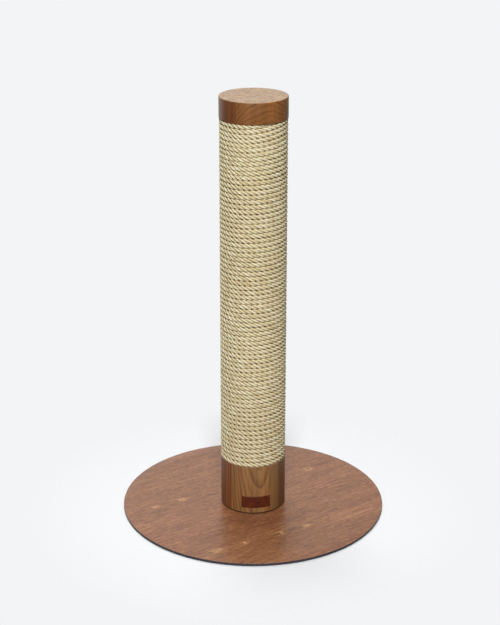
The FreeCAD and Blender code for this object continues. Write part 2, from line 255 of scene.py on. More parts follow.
def wood_rings(n, place, board, zero_height):
    """How many growth rings a point lies from the pith of its board's tree, with the grain
    upright: the pith leans, so the rings come out on the side as long arches."""
    x, y, z = n.split(place)
    rise = n.math("SUBTRACT", z, zero_height)
    waver = n.math("SUBTRACT", n.noise(place, board["waver_cells"], detail=2.0), 0.5)
    waver = n.math("MULTIPLY", waver, board["waver"])
    across = n.math("SUBTRACT", x, n.math("MULTIPLY_ADD", rise, board["lean"][0], board["pith"][0]))
    deep = n.math("SUBTRACT", y, n.math("MULTIPLY_ADD", rise, board["lean"][1], board["pith"][1]))
    reach = n.vector("LENGTH", n.join(across, deep, 0.0))
    reach = n.math("ADD", reach, waver)
    return n.math("DIVIDE", reach, board["ring"])


def board_colour(n, place, board, zero_height):
    """Rings that darken slowly and end sharply, some years darker than others, with streaks
    and stripes of fibre."""
    rings = wood_rings(n, place, board, zero_height)
    share = n.math("FRACT", rings)
    late = n.spread(share, board["early"], 0.88)
    late = n.math("MULTIPLY", late, n.spread(share, 1.0, 0.93))
    year = n.noise(n.join(n.math("FLOOR", rings), 0.0, 0.0), (0.7, 1, 1), detail=0.0)
    late = n.math("MULTIPLY", late, n.spread(year, 0.3, 0.7, 0.45 * board["late"], board["late"]))
    streak = n.noise(place, (620, 620, 9), detail=4.0, roughness=0.65)
    stripe = n.noise(place, (190, 190, 4), detail=2.0, roughness=0.6)
    broad = n.noise(place, (60, 60, 4), detail=1.0)
    tone = n.math("MULTIPLY_ADD", n.math("SUBTRACT", streak, 0.5), board["streak"], late)
    tone = n.math("MULTIPLY_ADD", n.math("SUBTRACT", stripe, 0.5), board["stripe"], tone)
    tone = n.math("ADD", tone, 0.12)
    colour = n.ramp(tone, [(0.0, board["light"]), (0.45, board["middle"]), (1.0, board["dark"])])
    return n.mix(n.spread(broad, 0.35, 0.65, 0.0, 0.55), colour, board["tint"], "MULTIPLY")


def wood_pores(n, place):
    """Small dark vessels that run with the grain: dashes on the side, dots on the end."""
    cells = n.noise(place, (1500, 1500, 75), detail=1.0, roughness=0.4)
    patches = n.noise(place, (160, 160, 20), detail=1.0)
    mask = n.spread(cells, 0.60, 0.70)
    return n.math("MULTIPLY", mask, n.spread(patches, 0.35, 0.6, 0.25, 1.0))


def end_grain_and_sheen_colour(n, place, board, zero_height):
    """The sawn top: cut vessels as fine specks and only a hint of the rings, in a paler tone
    that is painted sheen from the light on the top.
    """
    rings = n.math("FRACT", wood_rings(n, place, board, zero_height))
    speck = n.noise(place, (260, 420, 420), detail=3.0, roughness=0.7)
    cloud = n.noise(place, (60, 110, 110), detail=2.0, roughness=0.6)
    tone = n.math("MULTIPLY_ADD", speck, 1.1, n.math("MULTIPLY", cloud, 0.5))
    tone = n.math("MULTIPLY_ADD", rings, 0.10, n.math("SUBTRACT", tone, 0.32))
    return n.ramp(tone, [
        (0.28, srgb(189, 160, 126)),
        (0.48, srgb(161, 131, 98)),
        (0.62, srgb(136, 105, 76)),
        (0.80, srgb(80, 57, 39)),
    ])


# half the width of a glue line, and how far up from the base the painted contact shadow on the foot's bottom
# edge is dark and fades out
GLUE_LINE = 0.0005
SHADE_FULL = 0.0018
SHADE_GONE = 0.0034


def block_wood(name, boards, zero_height, roughness, contact_shade_height=None):
    """Edge-glued boards with upright grain, from left to right. Where a height is given, the
    bottom edge above it is painted dark as the shadow where the foot sits on the base."""
    n = Nodes(name)
    place = n.place()
    x, _, z = n.split(place)
    colour = board_colour(n, place, boards[0], zero_height)
    for board in boards[1:]:
        own = board_colour(n, place, board, zero_height)
        colour = n.mix(n.math("GREATER_THAN", x, board["starts"]), colour, own)
        seam = n.math("ABSOLUTE", n.math("SUBTRACT", x, board["starts"]))
        colour = n.mix(n.spread(seam, 0.0, GLUE_LINE, 0.35, 0.0), colour, board["dark"])
    pores = wood_pores(n, place)
    colour = n.mix(n.math("MULTIPLY", pores, 0.45), colour, srgb(52, 30, 16))
    # faces that look up take the end-grain colour: the specks are real end grain, the paler tone is painted
    # sheen
    up = n.split(n.add("TexCoord").outputs["Normal"])[2]
    colour = n.mix(n.spread(up, 0.55, 0.95), colour, end_grain_and_sheen_colour(n, place, boards[-1], zero_height))
    # painted shade: the foot darkens towards its bottom edge, as the shadow in the gap on the base
    if contact_shade_height:
        rim = n.math("SUBTRACT", z, contact_shade_height)
        colour = n.mix(n.spread(rim, SHADE_FULL, SHADE_GONE, 0.95, 0.0), colour, srgb(26, 13, 8))
    n.set("Base Color", colour)
    fibre = n.noise(place, (900, 900, 14), detail=3.0, roughness=0.6)
    n.set("Roughness", n.spread(fibre, 0.3, 0.7, roughness - 0.05, roughness + 0.08))
    n.bump(n.math("SUBTRACT", n.math("MULTIPLY", fibre, 0.5), pores), 0.00012, 0.6)
    return n.material


# The boards of the foot and of the cap, from left to right.
# starts: where the board's left edge is; the first one has none.
# pith, lean: where the middle of its tree is at the zero height, and how it leans from there.
# ring: the width of a year. waver, waver_cells: how far the rings stray, in so many cells a metre.
# streak, stripe: how strong the fine and the broad fibres are.
# early, late: the part of a ring where its late wood starts, and how dark that gets.
# light, middle, dark: the wood's colours. tint: what its broad clouds multiply them by.
FOOT_BOARDS = [
    dict(pith=(-0.16, -0.05), lean=(0.02, 0.03), ring=0.0042, waver=0.004,
         waver_cells=(30, 30, 6), streak=0.9, stripe=1.5, early=0.3, late=0.5,
         light=srgb(142, 90, 52), middle=srgb(116, 67, 38), dark=srgb(80, 43, 26), tint=srgb(225, 205, 190)),
    dict(starts=-0.041, pith=(0.005, -0.023), lean=(0.0, -0.065), ring=0.0024, waver=0.0010,
         waver_cells=(60, 60, 5), streak=0.8, stripe=1.3, early=0.35, late=0.62,
         light=srgb(152, 108, 64), middle=srgb(127, 85, 50), dark=srgb(96, 60, 35), tint=srgb(220, 222, 205)),
    dict(starts=0.033, pith=(0.13, -0.16), lean=(0.02, 0.02), ring=0.0048, waver=0.003,
         waver_cells=(30, 30, 6), streak=0.8, stripe=1.4, early=0.3, late=0.5,
         light=srgb(134, 96, 58), middle=srgb(110, 76, 45), dark=srgb(80, 52, 31), tint=srgb(215, 222, 200)),
    dict(starts=0.0485, pith=(0.10, -0.12), lean=(0.02, 0.02), ring=0.0044, waver=0.003,
         waver_cells=(30, 30, 6), streak=0.8, stripe=1.3, early=0.3, late=0.5,
         light=srgb(112, 72, 44), middle=srgb(88, 54, 33), dark=srgb(62, 36, 22), tint=srgb(220, 210, 200)),
]

CAP_BOARDS = [
    dict(pith=(-0.14, -0.08), lean=(0.02, 0.05), ring=0.0060, waver=0.004,
         waver_cells=(30, 30, 8), streak=0.5, stripe=0.8, early=0.3, late=0.35,
         light=srgb(136, 82, 43), middle=srgb(112, 66, 34), dark=srgb(84, 47, 24), tint=srgb(225, 208, 190)),
    dict(starts=-0.031, pith=(-0.0166, 0.0364), lean=(0.137, -0.30), ring=0.0029, waver=0.0075,
         waver_cells=(26, 26, 24), streak=0.6, stripe=0.6, early=0.55, late=0.7,
         light=srgb(152, 99, 50), middle=srgb(134, 84, 42), dark=srgb(92, 55, 27), tint=srgb(215, 212, 190)),
]


def build_cap():
    wood = block_wood("cap_wood", CAP_BOARDS, zero_height=0.78, roughness=0.42)
    profile = turned_profile(CAP_RADIUS, CAP_BOTTOM, CAP_TOP, bottom_round=0.0006, top_round=0.0012)
    vertices, faces = lathe(profile, BLOCK_SIDES)
    add_mesh("cap_turned", vertices, faces, "cap", wood)


def build_foot():
    wood = block_wood("foot_wood", FOOT_BOARDS, zero_height=0.03, roughness=0.45, contact_shade_height=BASE_TOP)
    profile = turned_profile(FOOT_RADIUS, BASE_TOP, ROPE_BOTTOM, bottom_round=0.0011, top_round=0.0006)
    vertices, faces = lathe(profile, BLOCK_SIDES)
    add_mesh("foot_turned", vertices, faces, "foot", wood)


# ---------------------------------------------------------------- base

GRAIN_ANGLE = math.radians(35)
DISC_RINGS = 10
# small knots in the veneer, as (x, y) in metres and a size
KNOTS = [
    ((-0.1417, -0.0051), 0.0080),
    ((-0.1884, -0.0341), 0.0065),
    ((-0.0673, -0.2037), 0.0085),
    ((-0.0165, -0.1740), 0.0065),
    ((0.0503, -0.1360), 0.0085),
    ((0.0995, -0.1089), 0.0070),
    ((0.1110, 0.1299), 0.0080),
]
# how far in from its rim the veneer starts to darken, and where it is dark
RIM_START = 0.0006
RIM_DARK = 0.0003
# streaks, as the middle (x, y), the reach along the grain and across it, and the colour
STREAKS = [
    ((0.2030, -0.0560), 0.048, 0.0016, srgb(186, 134, 92)),
    ((0.1382, 0.1527), 0.026, 0.0032, srgb(78, 46, 32)),
    ((-0.0800, 0.0180), 0.020, 0.0035, srgb(88, 56, 40)),
    ((0.0729, -0.1206), 0.016, 0.0030, srgb(82, 48, 32)),
]


def veneer_material():
    """Flat-cut veneer: fine short lines that part round a few small knots."""
    n = Nodes("base_veneer_wood")
    place = n.place()
    x, y, _ = n.split(place)
    cos, sin = math.cos(GRAIN_ANGLE), math.sin(GRAIN_ANGLE)
    along = n.math("MULTIPLY_ADD", x, cos, n.math("MULTIPLY", y, sin))
    across = n.math("MULTIPLY_ADD", y, cos, n.math("MULTIPLY", x, -sin))

    def offset(spot):
        """How far a point is from a spot, along the grain and across it."""
        spot_x, spot_y = spot
        dx = n.math("SUBTRACT", along, spot_x * cos + spot_y * sin)
        dy = n.math("SUBTRACT", across, spot_y * cos - spot_x * sin)
        return dx, dy

    def nearness(dx, dy, length, width):
        """1 at the spot itself, and less and less further off."""
        far = n.vector("LENGTH", n.join(n.math("DIVIDE", dx, length), n.math("DIVIDE", dy, width), 0.0))
        return n.math("POWER", math.e, n.math("MULTIPLY", n.math("MULTIPLY", far, far), -1.0))

    flow, glow, eyes = across, None, None
    for spot, size in KNOTS:
        dx, dy = offset(spot)
        near = nearness(dx, dy, 3.0 * size, size)
        flow = n.math("SUBTRACT", flow, n.math("MULTIPLY", n.math("MULTIPLY", dy, near), 0.8))
        bright = nearness(dx, dy, 1.6 * size, 0.8 * size)
        shade = nearness(n.math("ADD", dx, 1.3 * size), dy, 1.1 * size, 0.45 * size)
        glow = bright if glow is None else n.math("MAXIMUM", glow, bright)
        eyes = shade if eyes is None else n.math("MAXIMUM", eyes, shade)
    lines = n.join(along, flow, 0.0)
    fine = n.noise(lines, (45, 800, 1), detail=4.0, roughness=0.7)
    medium = n.noise(lines, (26, 230, 1), detail=4.0, roughness=0.65, distortion=0.4)
    mottle = n.noise(place, (130, 130, 1), detail=3.0, roughness=0.6)
    broad = n.noise(lines, (4, 26, 1), detail=2.0)
    tone = n.math("MULTIPLY_ADD", fine, 0.6, n.math("MULTIPLY", medium, 0.9))
    tone = n.math("MULTIPLY_ADD", mottle, 0.55, tone)
    tone = n.math("ADD", tone, n.math("MULTIPLY_ADD", broad, 0.4, -0.725))
    colour = n.ramp(tone, [
        (0.2, srgb(96, 58, 36)),
        (0.42, srgb(123, 78, 50)),
        (0.62, srgb(146, 98, 64)),
        (0.88, srgb(176, 126, 84)),
    ])
    speckle = n.noise(lines, (140, 380, 1), detail=2.0)
    fleck = n.math("MULTIPLY", glow, n.spread(speckle, 0.36, 0.56))
    colour = n.mix(n.math("MULTIPLY", fleck, 0.9), colour, srgb(204, 152, 102))
    colour = n.mix(n.math("MULTIPLY", eyes, 0.6), colour, srgb(84, 50, 34))
    for spot, length, width, tint in STREAKS:
        near = nearness(*offset(spot), length, width)
        ragged = n.math("MULTIPLY", near, n.spread(medium, 0.3, 0.6, 0.2, 1.0))
        colour = n.mix(n.math("MULTIPLY", ragged, 0.8), colour, tint)
    out = n.vector("LENGTH", n.join(x, y, 0.0))
    rim = n.spread(out, BASE_RADIUS - RIM_START, BASE_RADIUS - RIM_DARK)
    colour = n.mix(rim, colour, srgb(30, 26, 36))
    n.set("Base Color", colour)
    n.set("Roughness", n.spread(fine, 0.3, 0.7, 0.29, 0.38))
    n.bump(fine, 0.00008, 0.5)
    return n.material


def black_coat_material():
    """Satin powder coat, with its fine orange-peel texture."""
    n = Nodes("base_black_coat")
    place = n.place()
    cloud = n.noise(place, (60, 60, 60), detail=2.0)
    n.set("Base Color", n.ramp(cloud, [(0.3, srgb(26, 23, 32)), (0.7, srgb(36, 32, 44))]))
    n.set("Roughness", 0.5)
    n.bump(n.noise(place, (1600, 1600, 1600), detail=2.0), 0.00005, 0.5)
    return n.material


def felt_material():
    """Dense black felt."""
    n = Nodes("underlay_felt")
    place = n.place()
    tuft = n.noise(place, (2200, 2200, 2200), detail=4.0, roughness=0.7)
    n.set("Base Color", n.ramp(tuft, [(0.3, srgb(20, 20, 22)), (0.7, srgb(44, 44, 48))]))
    n.set("Roughness", 0.95)
    n.bump(tuft, 0.0003, 0.8)
    return n.material


def build_base():
    plate_low, plate_high = low_of("base_plate").z, high_of("base_plate").z
    profile = turned_profile(BASE_RADIUS, plate_low, plate_high, 0.0006, 0.0002, DISC_RINGS)
    vertices, faces = lathe(profile, DISC_SIDES)
    add_mesh("base_disc", vertices, faces, "base_plate", black_coat_material())
    profile = turned_profile(BASE_RADIUS, plate_high, BASE_TOP, 0.00005, 0.0004, DISC_RINGS)
    vertices, faces = lathe(profile, DISC_SIDES)
    add_mesh("base_veneer_sheet", vertices, faces, "base_veneer", veneer_material())


# ---------------------------------------------------------------- rope

# The rope lies in so many courses. Turns count from the back of the post, so the front is
# half a turn on.
COURSES = 74
TOP_END = 73.708
PITCH = (ROPE_TOP - ROPE_BOTTOM) / COURSES
HALF_DEPTH = (SLEEVE_RADIUS - TUBE_RADIUS) / 2
# the part of a turn in which a level turn steps up to the next course
STEP = 0.264
# turns from each end over which level turns become an even climb, and turns cut off each end
END_BLEND = 10
END_CUT = 0.05
# the twist: three strands, each with its middle and its size as parts of the rope's radius
STRANDS = 3
STRAND_OFFSET = 0.515
STRAND_SIZE = 0.485
LAYS_PER_TURN = 12.02
# the turns press on each other, so each reaches a little past the middle of the gap
SQUEEZE = 1.11
# how the rope strays, and over what lengths: its height and reach, its twist in radians,
# and the size of its strands as a part of their own
HEIGHT_STRAY, HEIGHT_WAVES = 0.00014, (0.171, 0.43, 0.93)
REACH_STRAY, REACH_WAVES = 0.00012, (0.11, 0.29, 0.67)
TWIST_STRAY, TWIST_WAVES = 0.5, (0.23, 0.71, 1.9)
STRAND_STRAY, STRAND_WAVES = 0.02, (0.037, 0.083, 0.19)
# how fine the mesh is, and how far it stays from foot and cap
RINGS_PER_LAY = 14
POINTS_PER_STRAND = 10
TURNS_PER_PIECE = 12
SHORTEST_PIECE = 3
END_GAP = 0.0001


def smooth_step(x):
    """0 below 0 and 1 above 1, with a smooth rise between."""
    x = np.clip(x, 0, 1)
    return x * x * (3 - 2 * x)


def flat_then_up(turn):
    """Level turns, each with a step up to the next course at its end."""
    whole = np.floor(turn)
    return whole + smooth_step((turn - whole - (1 - STEP)) / STEP)


def climb(turn):
    """How many courses up the rope lies. Its first and last turns lie level against the foot
    and the cap; between them it climbs evenly."""
    even = turn + (COURSES - TOP_END) * turn / TOP_END
    low = np.maximum(flat_then_up(turn), 0)
    high = np.minimum(COURSES + flat_then_up(turn - TOP_END), COURSES - 1)
    low_share = np.clip(1 - (turn - 1) / END_BLEND, 0, 1)
    high_share = np.clip(1 - (TOP_END - 2 - turn) / END_BLEND, 0, 1)
    return even + low_share * (low - even) + high_share * (high - even)


def end_taper(turn):
    """How full the rope is: it narrows where its two ends are pressed into the last steps."""
    return smooth_step((turn + STEP) / STEP) * smooth_step((TOP_END - turn) / STEP)


def wander(place, seed, waves):
    """A slow seeded wave along the rope, within about one either way."""
    random = np.random.default_rng(seed)
    total = np.zeros_like(place)
    for length in waves:
        total += np.sin(2 * math.pi * (place / length + random.random()))
    return total / math.sqrt(len(waves))


def strand_reach(angle):
    """How far the rope's outside is from its middle, as a part of its radius."""
    between = 2 * math.pi / STRANDS
    toward = (angle + between / 2) % between - between / 2
    reach = STRAND_OFFSET * np.cos(toward)
    return reach + np.sqrt(STRAND_SIZE**2 - (STRAND_OFFSET * np.sin(toward))**2)


# painted shade: the rope's lowest stretch is a little darker
LOW_SHADE_HEIGHT = 0.25


def rope_material():
    """Sisal: pale straw fibres that run along the rope, each its own shade, with painted shade
    that makes the valleys between strands and between turns browner, more so low down."""
    n = Nodes("rope_sisal")
    spot = n.add("Attribute", attribute_name="rope_place").outputs["Vector"]
    exposed = n.split(n.add("Attribute", attribute_name="rope_depth").outputs["Vector"])
    fibre = n.noise(spot, (90, 4200, 4200), detail=3.0, roughness=0.6)
    bundle = n.noise(spot, (45, 1300, 1300), detail=2.0)
    patch = n.noise(spot, (9, 130, 130), detail=2.0)
    tone = n.math("MULTIPLY_ADD", fibre, 0.6, n.math("MULTIPLY", bundle, 0.6))
    tone = n.math("ADD", tone, n.math("MULTIPLY_ADD", patch, 0.5, -0.35))
    colour = n.ramp(tone, [
        (0.2, srgb(182, 163, 116)),
        (0.42, srgb(214, 200, 156)),
        (0.6, srgb(233, 225, 190)),
        (0.85, srgb(250, 246, 226)),
    ])
    # painted shade: the valleys between strands and between turns are mixed towards dark brown
    between_strands = n.spread(exposed[0], 0.45, 0.88, 1.0, 0.0)
    between_turns = n.spread(exposed[1], -0.15, 0.6, 1.0, 0.0)
    both = n.math("MULTIPLY", between_strands, between_turns)
    hidden = n.math("ADD", between_strands, between_turns)
    hidden = n.math("MULTIPLY_ADD", hidden, 0.5, n.math("MULTIPLY", both, 0.6))
    # the painted valley shade is stronger low on the post and weaker near the top
    height = n.split(n.place())[2]
    hidden = n.math("MULTIPLY", hidden, n.spread(height, ROPE_BOTTOM, ROPE_TOP, 1.2, 0.85), clamp=True)
    colour = n.mix(hidden, colour, srgb(136, 82, 34))
    # painted shade, darker towards the bottom
    low_shade = n.spread(height, ROPE_BOTTOM, ROPE_BOTTOM + LOW_SHADE_HEIGHT, 0.92, 1.0)
    colour = n.mix(1.0, colour, n.join(low_shade, low_shade, low_shade), "MULTIPLY")
    n.set("Base Color", colour)
    n.set("Roughness", 0.75)
    n.set("Specular IOR Level", 0.15)
    n.bump(n.math("MULTIPLY_ADD", bundle, 0.6, n.math("MULTIPLY", fibre, 0.5)), 0.0006, 0.8)
    return n.material


def build_rope():
    material = rope_material()
    between = range(TURNS_PER_PIECE, int(TOP_END) - SHORTEST_PIECE, TURNS_PER_PIECE)
    stops = [END_CUT - STEP, *between, TOP_END - END_CUT]
    for k, (start, stop) in enumerate(zip(stops, stops[1:]), start=1):
        middle = ROPE_BOTTOM + PITCH * (start + stop) / 2
        build_rope_piece(f"rope_turns_{k}", start, stop, rope_node(middle), material)


def rope_node(height):
    """The CAD node that holds the rope at this height."""
    return "sisal_rope" if height < SLEEVE_BOTTOM else "sisal_rope_upper"


def rope_line(turn):
    """Where the rope's middle is at each turn, how deep and high it is there, and its twist."""
    middle = TUBE_RADIUS + HALF_DEPTH
    way = turn * 2 * math.pi * middle
    full = end_taper(turn)
    gone = PITCH / 2 * (1 - full)
    height = ROPE_BOTTOM + PITCH * (climb(turn) + 0.5)
    height += np.where(turn > TOP_END / 2, gone, -gone)
    height += HEIGHT_STRAY * wander(way, SEED, HEIGHT_WAVES) * full
    radial = middle + REACH_STRAY * wander(way, SEED + 1, REACH_WAVES) - 0.5 * HALF_DEPTH * (1 - full)
    twist = 2 * math.pi * LAYS_PER_TURN * turn + TWIST_STRAY * wander(way, SEED + 2, TWIST_WAVES)
    return {
        "way": way,
        "azimuth": 2 * math.pi * turn + math.pi / 2,
        "height": height,
        "radial": radial,
        "twist": twist,
        "deep": HALF_DEPTH * (0.5 + 0.5 * full),
        "high": PITCH / 2 * SQUEEZE * full,
    }


def rope_rings(start, stop):
    """The rings of points of a stretch of rope: their places on the post, their places in the
    straight and untwisted rope, and how far each is out of the valleys between strands and
    between turns."""
    rows = int((stop - start) * RINGS_PER_LAY * LAYS_PER_TURN) + 1
    lines = rope_line(np.linspace(start, stop, rows))
    line = {key: np.asarray(value).reshape(-1, 1) for key, value in lines.items()}
    count = STRANDS * POINTS_PER_STRAND
    angle = 2 * math.pi * np.arange(count) / count
    around = angle[None, :] + line["twist"]
    reach = np.repeat(strand_reach(angle)[None, :], rows, 0)
    strand = np.arange(count) // POINTS_PER_STRAND
    swell = [wander(lines["way"], SEED + 3 + k, STRAND_WAVES) for k in range(STRANDS)]
    size = reach * (1 + STRAND_STRAY * np.stack(swell, 1)[:, strand])
    out = line["radial"] + line["deep"] * size * np.cos(around)
    up = line["height"] - line["high"] * size * np.sin(around)
    up = np.clip(up, ROPE_BOTTOM + END_GAP, ROPE_TOP - END_GAP)
    skin = np.stack([out * np.cos(line["azimuth"]), out * np.sin(line["azimuth"]), up], -1)
    straight = np.stack([
        np.repeat(line["way"], count, 1),
        HALF_DEPTH * size * np.cos(angle)[None, :],
        HALF_DEPTH * size * np.sin(angle)[None, :],
    ], -1)
    exposed = np.stack([reach, np.cos(around), np.zeros_like(reach)], -1)
    return skin, straight, exposed


def with_ends(rings):
    """The points of all rings, and the middle of the first ring and of the last."""
    return np.concatenate([rings.reshape(-1, 3), rings[0].mean(0)[None], rings[-1].mean(0)[None]])


def tube_faces(rows, count):
    """The corners of the quads between rings and of the fans that close both ends, and where
    each face's corners start."""
    row = np.arange(rows - 1)[:, None] * count
    column = np.arange(count)
    following = (column + 1) % count
    quads = np.stack([row + column, row + following, row + count + following, row + count + column], -1)
    last, first_middle = (rows - 1) * count, rows * count
    first_end = np.stack([np.full(count, first_middle), following, column], -1)
    last_end = np.stack([np.full(count, first_middle + 1), last + column, last + following], -1)
    quads, ends = quads.reshape(-1, 4), np.concatenate([first_end, last_end])
    starts = np.concatenate([np.arange(len(quads)) * 4, quads.size + np.arange(len(ends)) * 3])
    return np.concatenate([quads.ravel(), ends.ravel()]), starts


def build_rope_piece(name, start, stop, node, material):
    skin, straight, exposed = rope_rings(start, stop)
    corners, starts = tube_faces(*skin.shape[:2])
    vertices = with_ends(skin)
    mesh = bpy.data.meshes.new(name)
    mesh.vertices.add(len(vertices))
    mesh.vertices.foreach_set("co", vertices.astype(np.float32).ravel())
    mesh.loops.add(len(corners))
    mesh.loops.foreach_set("vertex_index", corners.astype(np.int32))
    mesh.polygons.add(len(starts))
    mesh.polygons.foreach_set("loop_start", starts.astype(np.int32))
    mesh.update(calc_edges=True)
    mesh.validate()
    mesh.polygons.foreach_set("use_smooth", np.ones(len(starts), dtype=bool))
    for attribute, values in (("rope_place", straight), ("rope_depth", exposed)):
        layer = mesh.attributes.new(attribute, "FLOAT_VECTOR", "POINT")
        layer.data.foreach_set("vector", with_ends(values).astype(np.float32).ravel())
    add_piece(name, mesh, node, material)


# loose fibres: how many there are, how thick and long, how far they rise and bend for their
# length, and how steeply they leave the rope's line
FIBRES = 700
FIBRE_STEPS = 6
FIBRE_SIDES = 3
FIBRE_RADIUS = 0.00008
FIBRE_LENGTHS = (0.004, 0.012)
FIBRE_LIFTS = (0.15, 0.55)
FIBRE_BENDS = (-0.5, 0.5)
FIBRE_FALLS = (0.2, 0.9)
# the turns they grow from, and how far round from the rope's outermost point
FIBRE_TURNS = (0.6, TOP_END - 0.8)
FIBRE_AROUND = (-0.9, 0.9)
# how deep their roots sit, as a part of the rope's reach
FIBRE_ROOT = 0.97


def fibre_material():
    """Single dry fibres, by turns straw and pale."""
    n = Nodes("rope_loose_fibre")
    shade = n.noise(n.place(), (300, 300, 300), detail=2.0)
    n.set("Base Color", n.ramp(shade, [(0.3, srgb(196, 178, 130)), (0.7, srgb(240, 232, 196))]))
    n.set("Roughness", 0.6)
    return n.material


def fibre_line(random, line):
    """The points of one fibre's middle line, and the two directions across it."""
    around = random.uniform(*FIBRE_AROUND)
    reach = float(strand_reach(around - line["twist"])) * FIBRE_ROOT
    outward = Vector((math.cos(line["azimuth"]), math.sin(line["azimuth"]), 0))
    forward = Vector((-outward.y, outward.x, 0))
    upward = Vector((0, 0, 1))
    root = outward * (line["radial"] + line["deep"] * reach * math.cos(around))
    root.z = line["height"] - line["high"] * reach * math.sin(around)
    lay = (forward - upward * random.uniform(*FIBRE_FALLS)) * random.choice([-1, 1])
    lay.normalize()
    length = random.uniform(*FIBRE_LENGTHS)
    lift = random.uniform(*FIBRE_LIFTS)
    bend = random.uniform(*FIBRE_BENDS)
    side = lay.cross(outward)
    points = []
    for step in range(FIBRE_STEPS + 1):
        share = step / FIBRE_STEPS
        rise = outward * (lift * length * share * (1.3 - 0.5 * share))
        points.append(root + lay * (length * share) + rise + side * (bend * length * share * share))
    return points, outward, side


def add_fibre(vertices, faces, points, outward, side):
    """Adds a thin closed tube along the points, which narrows to its tip."""
    base = len(vertices)
    for step, point in enumerate(points):
        radius = FIBRE_RADIUS * (1 - 0.8 * step / FIBRE_STEPS)
        for corner in range(FIBRE_SIDES):
            angle = 2 * math.pi * corner / FIBRE_SIDES
            vertices.append(point + (outward * math.cos(angle) + side * math.sin(angle)) * radius)
    for step in range(FIBRE_STEPS):
        ring = base + FIBRE_SIDES * step
        for corner in range(FIBRE_SIDES):
            first, second = ring + corner, ring + (corner + 1) % FIBRE_SIDES
            faces.append((first, second, second + FIBRE_SIDES, first + FIBRE_SIDES))
    end = base + FIBRE_SIDES * FIBRE_STEPS
    faces.append(tuple(reversed(range(base, base + FIBRE_SIDES))))
    faces.append(tuple(range(end, end + FIBRE_SIDES)))


def build_fibres():
    """Short stray fibres that have come loose from the outside of the rope."""
    random = np.random.default_rng(SEED + 20)
    material = fibre_material()
    parts = {"sisal_rope": ([], []), "sisal_rope_upper": ([], [])}
    turns = random.uniform(*FIBRE_TURNS, FIBRES)
    lines = {key: np.broadcast_to(value, turns.shape).tolist() for key, value in rope_line(turns).items()}
    for k in range(FIBRES):
        line = {key: values[k] for key, values in lines.items()}
        points, outward, side = fibre_line(random, line)
        vertices, faces = parts[rope_node(points[0].z)]
        add_fibre(vertices, faces, points, outward, side)
    for k, (node, (vertices, faces)) in enumerate(parts.items(), start=1):
        add_mesh(f"rope_fibres_{k}", vertices, faces, node, material)


# ---------------------------------------------------------------- hidden fixings

def metal_material(name, dark, light, roughness):
    """Plated or plain metal with faint stains and turning marks."""
    n = Nodes(name)
    place = n.place()
    stain = n.noise(place, (260, 260, 260), detail=3.0)
    marks = n.noise(place, (200, 200, 5200), detail=2.0)
    n.set("Base Color", n.ramp(stain, [(0.3, dark), (0.7, light)]))
    n.set("Metallic", 1.0)
    n.set("Roughness", n.spread(marks, 0.3, 0.7, roughness - 0.06, roughness + 0.08))
    n.bump(marks, 0.00003, 0.5)
    return n.material


# the width of the tube's paper strips, and of two layers of plywood
PAPER_STRIP = 0.11
TWO_PLIES = 0.0028


def cardboard_material():
    """Brown paper wound in a spiral, with the seam between its strips."""
    n = Nodes("tube_cardboard")
    place = n.place()
    x, y, z = n.split(place)
    turned = n.math("DIVIDE", n.math("ARCTAN2", y, x), 2 * math.pi)
    wound = n.math("FRACT", n.math("ADD", n.math("DIVIDE", z, PAPER_STRIP), turned))
    seam = n.spread(n.math("ABSOLUTE", n.math("SUBTRACT", wound, 0.5)), 0.0, 0.012, 1.0, 0.0)
    pulp = n.noise(place, (420, 420, 420), detail=4.0, roughness=0.65)
    colour = n.ramp(pulp, [(0.3, srgb(148, 116, 80)), (0.7, srgb(184, 152, 112))])
    colour = n.mix(n.math("MULTIPLY", seam, 0.6), colour, srgb(96, 70, 44))
    n.set("Base Color", colour)
    n.set("Roughness", 0.85)
    n.bump(n.math("SUBTRACT", n.math("MULTIPLY", pulp, 0.3), seam), 0.0003, 0.6)
    return n.material


def plywood_material():
    """Thin layers, by turns with the grain along X and along Y."""
    n = Nodes("plug_plywood")
    place = n.place()
    layer = n.math("DIVIDE", n.split(place)[2], TWO_PLIES)
    odd = n.math("GREATER_THAN", n.math("FRACT", layer), 0.5)
    grain_x = n.noise(place, (20, 500, 500), detail=3.0)
    grain_y = n.noise(place, (500, 20, 500), detail=3.0)
    light = n.ramp(grain_x, [(0.3, srgb(196, 160, 116)), (0.7, srgb(220, 188, 146))])
    dark = n.ramp(grain_y, [(0.3, srgb(162, 122, 82)), (0.7, srgb(192, 154, 112))])
    n.set("Base Color", n.mix(odd, light, dark))
    n.set("Roughness", 0.75)
    n.bump(grain_x, 0.0001, 0.5)
    return n.material


def dress_carried_nodes():
    """Materials for the CAD nodes that show their own solids."""
    zinc = metal_material("zinc_plate", srgb(168, 170, 172), srgb(202, 204, 208), 0.34)
    brass = metal_material("plain_brass", srgb(178, 142, 78), srgb(214, 180, 112), 0.3)
    looks = {
        "base_underlay": felt_material(),
        "core_tube": cardboard_material(),
        "top_plug": plywood_material(),
    }
    looks.update({node: zinc for node in ("base_screws", "foot_screws", "plug_screws", "cap_stud")})
    looks.update({node: brass for node in ("foot_inserts", "plug_insert", "cap_insert")})
    for node, material in looks.items():
        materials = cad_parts[node].data.materials
        for slot in range(len(materials)):
            materials[slot] = material


# ---------------------------------------------------------------- label

# how far the patch is turned from the front, its width when flat, and its corners
LABEL_BEARING = math.radians(5.2)
LABEL_ARC = 0.0556
LABEL_CORNER = 0.0015
LABEL_THICKNESS = 0.0012
# how far in from its edge the face is softened, and how fine its mesh is
LABEL_EDGE = 0.0005
LABEL_ROWS = 18
LABEL_COLUMNS = 44


